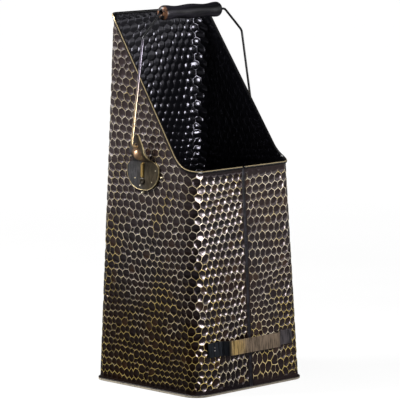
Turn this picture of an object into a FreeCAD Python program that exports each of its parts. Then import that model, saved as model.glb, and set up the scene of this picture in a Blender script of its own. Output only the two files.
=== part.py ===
import FreeCAD, Part
import math
import os
import Sketcher

# Coal hod of hammered sheet: one wrapped and tapered body with a slanted mouth,
# a seamed bottom pan, two joggled ears, a tilt strap low on the front, and a wire
# bail with a turned wooden grip.
# Millimetres. The origin is the middle of the underside, +Z is up and the low
# front of the mouth faces -Y.

os.makedirs("parts", exist_ok=True)
doc = FreeCAD.newDocument("coal_hod")

# Driving sizes
SIZES = [
    # Wrapped body: outline at its foot and at the top of the back wall
    ("base_width", 205.0),
    ("base_depth", 195.0),
    ("top_width", 175.0),
    ("front_inset", 27.0),
    ("back_inset", 13.0),
    ("bend_radius", 20.0),
    ("sheet", 1.2),
    # Slanted mouth
    ("back_height", 490.0),
    ("front_height", 292.0),
    ("front_land", 20.0),
    ("top_land", 9.5),
    ("mouth_hollow", 50.0),
    ("mouth_shoulder", 15.0),
    ("trim_allowance", 6.0),
    # Rolled rim and the lap of the sheet down the front
    ("rim_radius", 2.0),
    ("rim_gap", 5.0),
    ("lap_width", 9.0),
    ("lap_step", 1.0),
    # Bottom pan and its seam
    ("pan_sheet", 1.2),
    ("seam_height", 3.6),
    ("seam_thickness", 2.0),
    ("seam_round", 0.9),
    ("fit_gap", 0.3),
    # Ears, measured from the axis of the bail
    ("pivot_setback", 9.0),
    ("pivot_height", 321.0),
    ("ear_sheet", 2.0),
    ("ear_width", 60.0),
    ("ear_foot", 57.5),
    ("ear_foot_round", 26.0),
    ("ear_shoulder", 24.5),
    ("ear_shoulder_round", 9.0),
    ("ear_waist", 17.0),
    ("ear_waist_round", 7.0),
    ("neck_width", 25.5),
    ("neck_head", 2.0),
    ("neck_round", 12.0),
    ("tip_width", 10.0),
    ("tip_rise", 16.5),
    ("tip_round", 4.8),
    ("tip_lean", 3.0),
    ("ear_standoff", 12.0),
    ("ramp_foot", 19.5),
    ("ramp_head", 8.0),
    ("ear_bend", 3.0),
    ("nose_radius", 7.5),
    ("nose_drop", 10.2),
    ("nose_sink", 3.2),
    ("rib_width", 3.6),
    ("rib_rise", 2.0),
    ("rib_top", 22.5),
    ("rib_foot", 40.8),
    ("hook_hole", 7.0),
    # Rivet of each ear
    ("rivet_drop", 46.0),
    ("rivet_shank", 4.4),
    ("rivet_head", 9.0),
    ("rivet_head_rise", 1.6),
    ("rivet_dish", 0.6),
    ("rivet_tail", 8.0),
    ("rivet_tail_rise", 1.4),
    # Tilt strap
    ("strap_height", 60.0),
    ("strap_width", 19.0),
    ("strap_sheet", 1.8),
    ("strap_length", 158.0),
    ("strap_foot_span", 108.0),
    ("crown_length", 90.0),
    ("crown_standoff", 11.0),
    ("strap_bend", 3.0),
    ("strap_end_round", 3.0),
    # Bail
    ("wire", 3.0),
    ("bail_lean", 1.0),
    ("hook_inset", 6.7),
    ("hook_width", 16.0),
    ("hook_bend", 5.5),
    ("hook_return", 9.0),
    ("bail_shoulder_span", 184.0),
    ("bail_shoulder_height", 142.0),
    ("bail_shoulder_bend", 10.0),
    ("crossbar_span", 120.0),
    ("crossbar_height", 172.5),
    ("crossbar_bend", 8.0),
    # Grip
    ("grip_length", 108.0),
    ("grip_shift", 5.0),
    ("grip_bulb", 20.4),
    ("grip_bulb_length", 11.0),
    ("grip_end_round", 6.0),
    ("grip_waist", 15.6),
    ("grip_waist_place", 26.0),
    ("grip_swell", 20.4),
    ("grip_play", 0.6),
    ("grip_sink", 1.8),
]

sheet = doc.addObject("Spreadsheet::Sheet", "sizes")
for row, (word, size) in enumerate(SIZES, start=1):
    sheet.set("A%d" % row, word)
    sheet.set("B%d" % row, str(size))
    sheet.setAlias("B%d" % row, word)
doc.recompute()


def amount(expression):
    """Number that an expression of the sizes gives."""
    return float(sheet.evalExpression(expression))


# Places on the leaning walls, as expressions of a height above the floor
WALL_RISE = "(sizes.back_height - sizes.pan_sheet)"


def share(height):
    """Part of the wall's rise that is reached at a height."""
    return "((%s - sizes.pan_sheet) / %s)" % (height, WALL_RISE)


def side_x(height):
    taper = "(sizes.base_width - sizes.top_width) / 2"
    return "(sizes.base_width / 2 - %s * %s)" % (taper, share(height))


def front_y(height):
    return "(-sizes.base_depth / 2 + sizes.front_inset * %s)" % share(height)


def back_y(height):
    return "(sizes.base_depth / 2 - sizes.back_inset * %s)" % share(height)


SIDE_LEAN = "atan((sizes.base_width - sizes.top_width) / 2 / %s)" % WALL_RISE
FRONT_LEAN = "atan(sizes.front_inset / %s)" % WALL_RISE


def wall_outline(height, grow):
    """Rounded rectangle of the body at a height, grown outward on all sides."""
    right = "(%s + %s)" % (side_x(height), grow)
    front = "(%s - %s)" % (front_y(height), grow)
    back = "(%s + %s)" % (back_y(height), grow)
    bend = "(sizes.bend_radius + %s)" % grow
    return [
        ("-" + right, front, bend),
        (right, front, bend),
        (right, back, bend),
        ("-" + right, back, bend),
    ]


# Sketching: corners are expressions (across, up, rounding radius or None)
def tangent_points(before, corner, after, radius):
    """Ends and centre of the arc that rounds a corner."""
    arrive = (before - corner).normalize()
    leave = (after - corner).normalize()
    half = arrive.getAngle(leave) / 2
    reach = radius / math.tan(half)
    middle = (arrive + leave).normalize() * (radius / math.sin(half))
    return corner + arrive * reach, corner + leave * reach, corner + middle


def bind(sketch, constraint, expression):
    index = sketch.addConstraint(constraint)
    sketch.setExpression("Constraints[%d]" % index, expression)


def pin_point(sketch, point, across, up):
    """Tie a construction point to the sketch origin in both directions."""
    for kind, axis, expression in (("DistanceX", -2, across), ("DistanceY", -1, up)):
        place = amount(expression)
        if abs(place) < 1e-9:
            sketch.addConstraint(Sketcher.Constraint("PointOnObject", point, 1, axis))
        elif place > 0:
            bind(sketch, Sketcher.Constraint(kind, -1, 1, point, 1, place), expression)
        else:
            bind(sketch, Sketcher.Constraint(kind, point, 1, -1, 1, -place), "-(%s)" % expression)


def draw_loop(sketch, corners, closed=True):
    """Lines through bound corner points, with a bound tangent arc at each rounded one."""
    count = len(corners)
    spots = [FreeCAD.Vector(amount(a), amount(u), 0) for a, u, r in corners]
    starts = list(spots)
    ends = list(spots)
    centres = [None] * count
    for i, (across, up, rounding) in enumerate(corners):
        if rounding is not None:
            before, after = spots[i - 1], spots[(i + 1) % count]
            ends[i], starts[i], centres[i] = tangent_points(before, spots[i], after, amount(rounding))
    points = []
    for spot, (across, up, rounding) in zip(spots, corners):
        point = sketch.addGeometry(Part.Point(spot), True)
        pin_point(sketch, point, across, up)
        points.append(point)
    lines = []
    for i in range(count if closed else count - 1):
        follow = (i + 1) % count
        line = sketch.addGeometry(Part.LineSegment(starts[i], ends[follow]), False)
        for corner, end in ((i, 1), (follow, 2)):
            if centres[corner] is None:
                sketch.addConstraint(Sketcher.Constraint("Coincident", line, end, points[corner], 1))
            else:
                sketch.addConstraint(Sketcher.Constraint("PointOnObject", points[corner], 1, line))
        lines.append(line)
    for i, (across, up, rounding) in enumerate(corners):
        if centres[i] is None:
            continue
        radius = amount(rounding)
        from_centre = ends[i] - centres[i]
        to_centre = starts[i] - centres[i]
        turns_left = from_centre.cross(to_centre).z > 0
        first, last = (from_centre, to_centre) if turns_left else (to_centre, from_centre)
        circle = Part.Circle(centres[i], FreeCAD.Vector(0, 0, 1), radius)
        sweep = (math.atan2(first.y, first.x), math.atan2(last.y, last.x))
        arc = sketch.addGeometry(Part.ArcOfCircle(circle, *sweep), False)
        arrive, leave = (1, 2) if turns_left else (2, 1)
        sketch.addConstraint(Sketcher.Constraint("Tangent", lines[i - 1], 2, arc, arrive))
        sketch.addConstraint(Sketcher.Constraint("Tangent", lines[i], 1, arc, leave))
        bind(sketch, Sketcher.Constraint("Radius", arc, radius), rounding)


def draw_circle(sketch, across, up, diameter):
    spot = FreeCAD.Vector(amount(across), amount(up), 0)
    point = sketch.addGeometry(Part.Point(spot), True)
    pin_point(sketch, point, across, up)
    circle = Part.Circle(spot, FreeCAD.Vector(0, 0, 1), amount(diameter) / 2)
    ring = sketch.addGeometry(circle, False)
    sketch.addConstraint(Sketcher.Constraint("Coincident", ring, 3, point, 1))
    bind(sketch, Sketcher.Constraint("Diameter", ring, amount(diameter)), diameter)


def new_body(label):
    body = doc.addObject("PartDesign::Body", label)
    body.Label = label
    return body


def new_sketch(body, name, role, lift="0"):
    """Empty sketch on one of the body's origin planes, lifted along its normal."""
    sketch = body.newObject("Sketcher::SketchObject", name)
    plane = [f for f in body.Origin.OriginFeatures if f.Role == role][0]
    sketch.AttachmentSupport = (plane, [""])
    sketch.MapMode = "FlatFace"
    sketch.setExpression("AttachmentOffset.Base.z", lift)
    return sketch


def loop_sketch(body, name, role, corners, lift="0", closed=True):
    sketch = new_sketch(body, name, role, lift)
    draw_loop(sketch, corners, closed)
    doc.recompute()
    return sketch


def extrude(body, kind, name, sketch, length=None, both_ways=False, backward=False):
    """Pad or pocket of a sketch, through everything where no length is given."""
    feature = body.newObject("PartDesign::" + kind, name)
    feature.Profile = sketch
    feature.Reversed = backward
    if both_ways:
        feature.SideType = "Symmetric"
    if length is None:
        feature.Type = "ThroughAll"
    else:
        feature.setExpression("Length", length)
    sketch.Visibility = False
    doc.recompute()
    return feature


def loft(body, kind, name, lower, upper):
    feature = body.newObject("PartDesign::" + kind, name)
    feature.Profile = lower
    feature.Sections = [upper]
    feature.Ruled = True
    doc.recompute()
    return feature


def revolve(body, name, sketch):
    """Turned piece about the sketch's horizontal axis."""
    feature = body.newObject("PartDesign::Revolution", name)
    feature.Profile = sketch
    feature.ReferenceAxis = (sketch, ["H_Axis"])
    feature.Angle = 360
    doc.recompute()
    return feature


def round_edges(body, name, radius, wanted):
    """Fillet the edges of the body so far that a test picks."""
    base = body.Tip
    edges = ["Edge%d" % (i + 1) for i, edge in enumerate(base.Shape.Edges) if wanted(edge)]
    feature = body.newObject("PartDesign::Fillet", name)
    feature.Base = (base, edges)
    feature.setExpression("Radius", radius)
    doc.recompute()
    return feature


def level(edge, height):
    """True where an edge lies flat at a height."""
    box = edge.BoundBox
    return abs(box.ZMin - height) < 1e-4 and abs(box.ZMax - height) < 1e-4


def place(piece, across, along, up, axis=None, angle=None):
    """Bind a piece's place, and its turn about one axis."""
    if axis is not None:
        piece.Placement.Rotation = FreeCAD.Rotation(FreeCAD.Vector(*axis), amount(angle))
        piece.setExpression("Placement.Rotation.Angle", angle)
    piece.setExpression("Placement.Base.x", across)
    piece.setExpression("Placement.Base.y", along)
    piece.setExpression("Placement.Base.z", up)


# Height of each rivet, and the axis of the bail over the side wall
RIVET_HEIGHT = "(sizes.pivot_height - sizes.rivet_drop)"
RIVET_HOLE = "(sizes.rivet_shank + 2 * sizes.fit_gap)"
# The neck leans outward above its bend, so it stands further off at the axis of the bail
NECK_RISE = "(sizes.ramp_head + sizes.tip_rise)"
NECK_MIDDLE = "(sizes.ear_standoff + sizes.tip_lean * sizes.ramp_head / %s + sizes.ear_sheet / 2)" % NECK_RISE
# The hook's wire rests on the lower edge of its hole, so the hole lies a little higher
HOOK_HOLE_LIFT = "%s * tan(%s)" % (NECK_MIDDLE, SIDE_LEAN)
HOOK_HOLE_RISE = "((sizes.hook_hole - sizes.wire) / 2 - sizes.fit_gap - %s)" % HOOK_HOLE_LIFT


def rises(edge):
    """True where an edge runs up the height of the body."""
    return edge.BoundBox.ZLength > amount("sizes.back_height") / 2


def make_sheet():
    """Wrapped sheet: tapered tube, slanted mouth, lap step and rivet holes."""
    body = new_body("wrapped_sheet")
    foot = "sizes.pan_sheet"
    head = "(sizes.back_height + sizes.trim_allowance)"
    block = loop_sketch(body, "front_and_back", "YZ_Plane", [
        (front_y(foot), foot, None),
        (back_y(foot), foot, None),
        (back_y(head), head, None),
        (front_y(head), head, None),
    ])
    extrude(body, "Pad", "block", block, "2 * sizes.base_width", both_ways=True)
    below = "(-sizes.trim_allowance)"
    above = "(sizes.back_height + 2 * sizes.trim_allowance)"
    wide = "(2 * sizes.base_width)"
    flanks = new_sketch(body, "sides", "XZ_Plane")
    draw_loop(flanks, [
        ("-" + side_x(below), below, None),
        (side_x(below), below, None),
        (side_x(above), above, None),
        ("-" + side_x(above), above, None),
    ])
    draw_loop(flanks, [
        ("-" + wide, "2 * " + below, None),
        (wide, "2 * " + below, None),
        (wide, "2 * " + above, None),
        ("-" + wide, "2 * " + above, None),
    ])
    extrude(body, "Pocket", "tapered_sides", flanks, both_ways=True)
    bends = round_edges(body, "bends", "sizes.bend_radius", rises)
    ends = ["Face%d" % (i + 1) for i, face in enumerate(bends.Shape.Faces) if face.BoundBox.ZLength < 1e-4]
    tube = body.newObject("PartDesign::Thickness", "tube")
    tube.Base = (bends, ends)
    tube.setExpression("Value", "sizes.sheet")
    tube.Reversed = True
    doc.recompute()
    low = "(%s + sizes.front_land)" % front_y("sizes.front_height")
    high = "(%s - sizes.top_land)" % back_y("sizes.back_height")
    mouth = loop_sketch(body, "mouth_line", "YZ_Plane", [
        ("-sizes.base_depth", "sizes.front_height", None),
        (low, "sizes.front_height", "sizes.mouth_hollow"),
        (high, "sizes.back_height", "sizes.mouth_shoulder"),
        ("sizes.base_depth", "sizes.back_height", None),
        ("sizes.base_depth", above, None),
        ("-sizes.base_depth", above, None),
    ])
    opened = extrude(body, "Pocket", "mouth", mouth, both_ways=True)
    holes = new_sketch(body, "rivet_holes", "YZ_Plane")
    draw_circle(holes, "sizes.pivot_setback", RIVET_HEIGHT, RIVET_HOLE)
    extrude(body, "Pocket", "rivet_bores", holes, both_ways=True)
    lap = []
    lap_foot = "(sizes.seam_height + sizes.fit_gap)"
    for word, height in (("lap_foot", lap_foot), ("lap_head", "sizes.front_height")):
        face = "(%s - sizes.lap_step)" % front_y(height)
        root = "(%s + sizes.sheet / 2)" % front_y(height)
        half = "(sizes.lap_width / 2)"
        corners = [("-" + half, face, None), (half, face, None), (half, root, None), ("-" + half, root, None)]
        lap.append(loop_sketch(body, word, "XY_Plane", corners, height))
    loft(body, "AdditiveLoft", "lap", *lap)
    return body, opened


def redraw(edge):
    """Fresh line or curve along an edge of the mouth, smooth at both ends."""
    spots = edge.discretize(5)
    if spots[0].distanceToPoint(spots[-1]) > edge.Length - 1e-4:
        return Part.makeLine(spots[0], spots[-1])
    curve = Part.BSplineCurve()
    curve.interpolate(
        Points=spots,
        InitialTangent=edge.tangentAt(edge.FirstParameter),
        FinalTangent=edge.tangentAt(edge.LastParameter),
    )
    return curve.toShape()


def rim_path(opened):
    """Outer edge of the open mouth, from one side of the lap round to the other."""
    bend = amount("sizes.bend_radius")
    top_faces = []
    for face in opened.Shape.Faces:
        middle = face.CenterOfMass
        if face.normalAt(*face.Surface.parameter(middle)).z > 0.3:
            top_faces.append(face)
    edges = []
    for edge in [edge for face in top_faces for edge in face.Edges]:
        spot = edge.valueAt((edge.FirstParameter + edge.LastParameter) / 2)
        height = str(spot.z)
        past_side = max(abs(spot.x) - amount(side_x(height)) + bend, 0)
        past_end = max(spot.y - amount(back_y(height)), amount(front_y(height)) - spot.y) + bend
        depth = bend - math.hypot(past_side, max(past_end, 0))
        owners = sum(1 for face in top_faces for other in face.Edges if other.isSame(edge))
        if owners == 1 and abs(depth) < amount("sizes.sheet") / 2:
            edges.append(edge)
    gap = amount("sizes.rim_gap / 2")
    loop = Part.__sortEdges__(edges)
    front = min(range(len(loop)), key=lambda i: loop[i].CenterOfMass.z)
    loop = loop[front:] + loop[:front]
    follow = [vertex.Point for vertex in loop[1].Vertexes]
    ends = [vertex.Point for vertex in loop[0].Vertexes]
    begin, finish = sorted(ends, key=lambda end: -min(end.distanceToPoint(spot) for spot in follow))
    toward = (finish - begin).normalize()
    centre = (begin + finish) / 2
    first = Part.makeLine(centre + toward * gap, finish)
    last = Part.makeLine(begin, centre - toward * gap)
    return Part.Wire([first] + [redraw(edge) for edge in loop[1:]] + [last])


def sheet_in_roll():
    """Section area of the sheet's edge that the roll encloses."""
    radius = amount("sizes.rim_radius")
    depth = min(amount("sizes.sheet"), radius)
    return (depth * math.sqrt(radius ** 2 - depth ** 2) + radius ** 2 * math.asin(depth / radius)) / 2


def make_shell():
    """Sheet with the roll along its mouth, which stops short of the lap."""
    body, opened = make_sheet()
    path = rim_path(opened)
    start = path.OrderedVertexes[0].Point
    heading = path.OrderedEdges[0].tangentAt(path.OrderedEdges[0].FirstParameter)
    roll = doc.addObject("Part::Feature", "rim_roll")
    shell = doc.addObject("Part::Fuse", "body_shell")
    shell.Base = body
    shell.Tool = roll
    shell.Refine = False
    shell.Label = "body_shell"
    # The ring's own seam is turned round the path until the join has its due volume
    for turn in (100, 60, 130, 20, 160, 75):
        ring = Part.Wire(Part.makeCircle(amount("sizes.rim_radius"), start, heading))
        ring.rotate(start, heading, turn)
        roll.Shape = path.makePipeShell([ring], True, True)
        doc.recompute()
        due = body.Shape.Volume + roll.Shape.Volume - sheet_in_roll() * path.Length
        slack = roll.Shape.Volume / 100
        if len(shell.Shape.Solids) == 1 and abs(shell.Shape.Volume - due) < slack:
            return shell
    raise RuntimeError("the roll did not join the sheet")


def make_pan():
    """Bottom pan: flat floor whose edge is folded up round the foot of the body."""
    body = new_body("base_pan")
    gap = "sizes.fit_gap"
    over = "(sizes.fit_gap + sizes.seam_thickness)"
    foot = "sizes.pan_sheet"
    floor = loop_sketch(body, "floor_outline", "XY_Plane", wall_outline(foot, over))
    extrude(body, "Pad", "floor", floor, "sizes.seam_height")
    well = loop_sketch(body, "well_outline", "XY_Plane", wall_outline(foot, gap), "sizes.seam_height")
    extrude(body, "Pocket", "well", well, "sizes.seam_height - sizes.pan_sheet")
    seam_top = amount("sizes.seam_height")

    def at_seam(edge):
        return level(edge, seam_top) or level(edge, 0)

    round_edges(body, "seam_rounding", "sizes.seam_round", at_seam)
    return body


def bend_ear(body, label, outward):
    """Joggled strip of the ear, with a nose pressed out at its bend."""
    slope = "atan(sizes.ear_standoff / (sizes.ramp_foot - sizes.ramp_head))"
    neck_slope = "atan(sizes.tip_lean / %s)" % NECK_RISE
    mitre = "(sizes.ear_sheet * tan(%s / 2))" % slope
    mitre_length = "(sizes.ear_sheet / cos((%s - %s) / 2))" % (slope, neck_slope)
    mitre_angle = "((%s + %s) / 2)" % (slope, neck_slope)
    wide_bend = "(sizes.ear_bend + sizes.ear_sheet)"
    margin = "sizes.ear_bend"
    width = "(sizes.ear_width + 2 * %s)" % margin
    foot = "(-sizes.ear_foot - %s)" % margin
    head = "(sizes.tip_rise + %s)" % margin
    head_standoff = "(sizes.ear_standoff + (sizes.ramp_head + %s) * tan(%s))" % (head, neck_slope)
    back = [
        ("0", "-sizes.ramp_foot", wide_bend),
        (outward + "sizes.ear_standoff", "-sizes.ramp_head", "sizes.ear_bend"),
        (outward + head_standoff, head, None),
    ]
    front = [
        (outward + "(%s + sizes.ear_sheet / cos(%s))" % (head_standoff, neck_slope), head, None),
        (outward + "(sizes.ear_standoff + %s * cos(%s))" % (mitre_length, mitre_angle),
         "-sizes.ramp_head - %s * sin(%s)" % (mitre_length, mitre_angle), wide_bend),
        (outward + "sizes.ear_sheet", "-sizes.ramp_foot - " + mitre, "sizes.ear_bend"),
        (outward + "sizes.ear_sheet", foot, None),
    ]
    strip = loop_sketch(body, label + "_strip", "XZ_Plane", [("0", foot, None)] + back + front)
    extrude(body, "Pad", label + "_bent", strip, width, both_ways=True)
    nose = body.newObject("PartDesign::AdditiveSphere", label + "_nose")
    nose.setExpression("Radius", "sizes.nose_radius")
    place(nose, outward + "(sizes.ear_standoff - sizes.nose_sink)", "0", "-sizes.nose_drop")
    doc.recompute()
    behind = loop_sketch(body, label + "_behind", "XZ_Plane", back + [("0", head, None)])
    extrude(body, "Pocket", label + "_open_back", behind, width, both_ways=True)


def trim_ear(body, label):
    """Outline of the ear, from its round foot over the waist to the narrow tip, and its two holes."""
    half = "sizes.ear_width / 2"
    right = [
        (half, "-sizes.ear_foot", "sizes.ear_foot_round"),
        (half, "-sizes.ear_shoulder", "sizes.ear_shoulder_round"),
        ("sizes.neck_width / 2", "-sizes.ear_waist", "sizes.ear_waist_round"),
        ("sizes.neck_width / 2", "-sizes.neck_head", "sizes.neck_round"),
        ("sizes.tip_width / 2", "sizes.tip_rise", "sizes.tip_round"),
    ]
    left = [("-" + across, up, rounding) for across, up, rounding in reversed(right)]
    waste = "sizes.ear_width"
    trim = new_sketch(body, label + "_outline", "YZ_Plane")
    draw_loop(trim, right + left)
    draw_loop(trim, [("-" + waste, "-2 * " + waste, None), (waste, "-2 * " + waste, None),
                     (waste, waste, None), ("-" + waste, waste, None)])
    extrude(body, "Pocket", label + "_trim", trim, both_ways=True)
    holes = new_sketch(body, label + "_holes", "YZ_Plane")
    draw_circle(holes, "0", HOOK_HOLE_RISE, "sizes.hook_hole")
    draw_circle(holes, "0", "-sizes.rivet_drop", RIVET_HOLE)
    extrude(body, "Pocket", label + "_bores", holes, both_ways=True)


def make_ear(label, side):
    """Sheet ear with a raised rib. The side is 1 on the right and -1 on the left."""
    body = new_body(label)
    outward = "%d * " % side
    bend_ear(body, label, outward)
    trim_ear(body, label)
    rib_half = "sizes.rib_width / 2"
    rib_end = "(sizes.rib_width / 2 - 0.1)"
    rib = loop_sketch(body, label + "_rib_outline", "YZ_Plane", [
        ("-" + rib_half, "-sizes.rib_foot", rib_end),
        (rib_half, "-sizes.rib_foot", rib_end),
        (rib_half, "-sizes.rib_top", rib_end),
        ("-" + rib_half, "-sizes.rib_top", rib_end),
    ], outward + "sizes.ear_sheet / 2")
    extrude(body, "Pad", label + "_rib", rib, "sizes.rib_rise + sizes.ear_sheet / 2", backward=side < 0)
    wall = outward + side_x("sizes.pivot_height")
    lean = (0, -side, 0)
    place(body, wall, "sizes.pivot_setback", "sizes.pivot_height", lean, SIDE_LEAN)
    return body


def make_rivet(label, side):
    """Turned rivet through the ear and the wall, with a dished head outside."""
    body = new_body(label)
    outward = "%d * " % side
    face = "sizes.ear_sheet"
    crown = "(sizes.ear_sheet + sizes.rivet_head_rise)"
    inside = "(-sizes.sheet)"
    tail = "(-sizes.sheet - sizes.rivet_tail_rise)"
    profile = loop_sketch(body, label + "_profile", "XZ_Plane", [
        (outward + tail, "0", None),
        (outward + tail, "sizes.rivet_tail / 2", "sizes.rivet_tail_rise * 0.8"),
        (outward + inside, "sizes.rivet_tail / 2", None),
        (outward + inside, "sizes.rivet_shank / 2", None),
        (outward + face, "sizes.rivet_shank / 2", None),
        (outward + face, "sizes.rivet_head / 2", None),
        (outward + crown, "sizes.rivet_head / 2", "sizes.rivet_head_rise * 0.8"),
        (outward + crown, "sizes.rivet_head / 4", None),
        (outward + "(%s - sizes.rivet_dish)" % crown, "0", None),
    ])
    revolve(body, label + "_turned", profile)
    lean = (0, -side, 0)
    place(body, outward + side_x(RIVET_HEIGHT), "sizes.pivot_setback", RIVET_HEIGHT, lean, SIDE_LEAN)
    return body


def make_strap():
    """Bent strap with two flat feet and a raised crown for the fingers."""
    body = new_body("tilt_strap")
    foot = "sizes.strap_foot_span / 2"
    crown = "sizes.crown_length / 2"
    end = "sizes.strap_length / 2"
    slope = "atan(sizes.crown_standoff / (sizes.strap_foot_span / 2 - sizes.crown_length / 2))"
    mitre = "sizes.strap_sheet * tan(%s / 2)" % slope
    tight = "sizes.strap_bend"
    wide = "(sizes.strap_bend + sizes.strap_sheet)"
    face = "(-sizes.crown_standoff - sizes.strap_sheet)"
    right_wall_side = [
        (crown, "-sizes.crown_standoff", tight),
        (foot, "0", wide),
        (end, "0", None),
    ]
    right_outside = [
        (end, "-sizes.strap_sheet", None),
        ("(%s + %s)" % (foot, mitre), "-sizes.strap_sheet", tight),
        ("(%s + %s)" % (crown, mitre), face, wide),
    ]
    right = right_wall_side + right_outside
    left = [("-" + across, up, rounding) for across, up, rounding in reversed(right)]
    profile = loop_sketch(body, "strap_profile", "XY_Plane", right + left)
    extrude(body, "Pad", "strap_bent", profile, "sizes.strap_width", both_ways=True)
    tip = amount(end)

    def at_foot_corner(edge):
        box = edge.BoundBox
        return box.XLength < 1e-4 and box.ZLength < 1e-4 and abs(abs(box.XMin) - tip) < 1e-4

    round_edges(body, "strap_end_rounding", "sizes.strap_end_round", at_foot_corner)
    place(body, "0", front_y("sizes.strap_height"), "sizes.strap_height", (-1, 0, 0), FRONT_LEAN)
    return body


def make_bail():
    """Round wire bent as a bail, with a hook through each ear."""
    body = new_body("bail_wire")
    neck = "(%s + %s)" % (side_x("sizes.pivot_height"), NECK_MIDDLE)
    inner_leg = "(%s - sizes.hook_inset)" % neck
    outer_leg = "(%s + sizes.hook_width)" % inner_leg
    right = [
        ("sizes.crossbar_span / 2", "sizes.crossbar_height", "sizes.crossbar_bend"),
        ("sizes.bail_shoulder_span / 2", "sizes.bail_shoulder_height", "sizes.bail_shoulder_bend"),
        (outer_leg, "0", "sizes.hook_bend"),
        (inner_leg, "0", "sizes.hook_bend"),
        (inner_leg, "sizes.hook_return", None),
    ]
    left = [("-" + across, up, rounding) for across, up, rounding in reversed(right)]
    path = loop_sketch(body, "bail_path", "XZ_Plane", left + right, closed=False)
    section = new_sketch(body, "bail_section", "XY_Plane", "sizes.hook_return")
    draw_circle(section, "-" + inner_leg, "0", "sizes.wire")
    doc.recompute()
    pipe = body.newObject("PartDesign::AdditivePipe", "bent_wire")
    pipe.Profile = section
    pipe.Spine = (path, ["Edge%d" % (i + 1) for i in range(len(path.Shape.Edges))])
    pipe.Transition = "Transformed"
    doc.recompute()
    place(body, "0", "sizes.pivot_setback", "sizes.pivot_height", (-1, 0, 0), "sizes.bail_lean")
    return body


def make_grip():
    """Turned wooden grip with bulbed ends, loose on the wire."""
    body = new_body("grip")
    end = "sizes.grip_length / 2"
    bore = "(sizes.wire / 2 + sizes.grip_play)"
    bulb_place = "(sizes.grip_length / 2 - sizes.grip_bulb_length)"
    waist_place = "(sizes.grip_length / 2 - sizes.grip_waist_place)"
    right = [
        (waist_place, "sizes.grip_waist / 2", "3 * sizes.grip_waist_place"),
        (bulb_place, "sizes.grip_bulb / 2 - 0.2", "4 * sizes.grip_bulb_length"),
        (end, "sizes.grip_bulb / 2", "sizes.grip_end_round"),
        (end, "%s + sizes.grip_sink" % bore, None),
        ("%s - sizes.grip_sink" % end, bore, None),
    ]
    left = [("-(%s)" % across, up, rounding) for across, up, rounding in reversed(right)]
    middle = [("0", "sizes.grip_swell / 2", "sizes.grip_length")]
    profile = loop_sketch(body, "grip_profile", "XZ_Plane", left + middle + right)
    revolve(body, "grip_turned", profile)
    lean = "sizes.bail_lean"
    place(body, "-sizes.grip_shift",
          "sizes.pivot_setback + sizes.crossbar_height * sin(%s)" % lean,
          "sizes.pivot_height + sizes.crossbar_height * cos(%s)" % lean,
          (-1, 0, 0), lean)
    return body


def write_pieces(pieces):
    """Check every object and every solid, then write one file for each piece."""
    doc.recompute()
    for item in doc.Objects:
        if "Invalid" in item.State or "Error" in item.State:
            raise RuntimeError("%s did not build: %s" % (item.Name, item.State))
    for piece in pieces:
        shape = piece.Shape
        if shape.isNull() or not shape.isValid() or not shape.Solids:
            raise RuntimeError("%s has no sound solid" % piece.Label)
        shape.exportStep(os.path.join("parts", piece.Label + ".step"))
        print("%-16s %2d solid %10.0f mm3" % (piece.Label, len(shape.Solids), shape.Volume))


write_pieces([
    make_shell(),
    make_pan(),
    make_ear("ear_left", -1),
    make_ear("ear_right", 1),
    make_rivet("ear_rivet_left", -1),
    make_rivet("ear_rivet_right", 1),
    make_strap(),
    make_bail(),
    make_grip(),
])
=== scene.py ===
import math

import bpy
import numpy as np
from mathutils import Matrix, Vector
from mathutils.geometry import delaunay_2d_cdt


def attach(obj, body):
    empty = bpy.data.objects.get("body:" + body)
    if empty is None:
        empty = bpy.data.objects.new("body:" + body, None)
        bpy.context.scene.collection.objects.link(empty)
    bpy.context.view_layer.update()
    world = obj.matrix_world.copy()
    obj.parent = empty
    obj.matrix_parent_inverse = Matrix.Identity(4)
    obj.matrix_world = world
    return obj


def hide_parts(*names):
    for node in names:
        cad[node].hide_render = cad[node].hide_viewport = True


# Looks of the hammered coal hod, in the frame of its solids. Sizes of the sheet work are in
# millimetres here and become metres when a mesh is made. Zones of materials are in metres.
MM = 0.001
SEED = 17

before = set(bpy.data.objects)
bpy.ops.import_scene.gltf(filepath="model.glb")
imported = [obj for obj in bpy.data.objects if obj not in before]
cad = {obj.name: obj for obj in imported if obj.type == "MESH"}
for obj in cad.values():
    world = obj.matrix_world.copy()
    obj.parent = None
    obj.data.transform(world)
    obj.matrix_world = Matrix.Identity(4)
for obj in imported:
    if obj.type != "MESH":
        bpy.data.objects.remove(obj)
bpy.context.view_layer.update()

# Wrapped body, as in the part's source
BASE_WIDTH = 205.0
BASE_DEPTH = 195.0
TOP_WIDTH = 175.0
FRONT_INSET = 27.0
BACK_INSET = 13.0
BEND = 20.0
SHEET = 1.2
FOOT = 1.2
BACK_HEIGHT = 490.0
FRONT_HEIGHT = 292.0
FRONT_LAND = 20.0
TOP_LAND = 9.5
MOUTH_HOLLOW = 50.0
MOUTH_SHOULDER = 15.0
RIM_RADIUS = 2.0
RIM_GAP = 5.0
SEAM_HEIGHT = 3.6
MOUTH_ROUNDS = 30

# Visible line of the lap, with the size and the length of the slow waves in it
LAP_LINE = 4.4
LAP_RISE = 0.25
LAP_EDGE = 0.6
LAP_STEPS = 180
LAP_WANDER = ((0.25, 23.0), (0.15, 9.0))
LAP_SWELL = ((0.12, 3.1), (0.1, 7.3))

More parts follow.
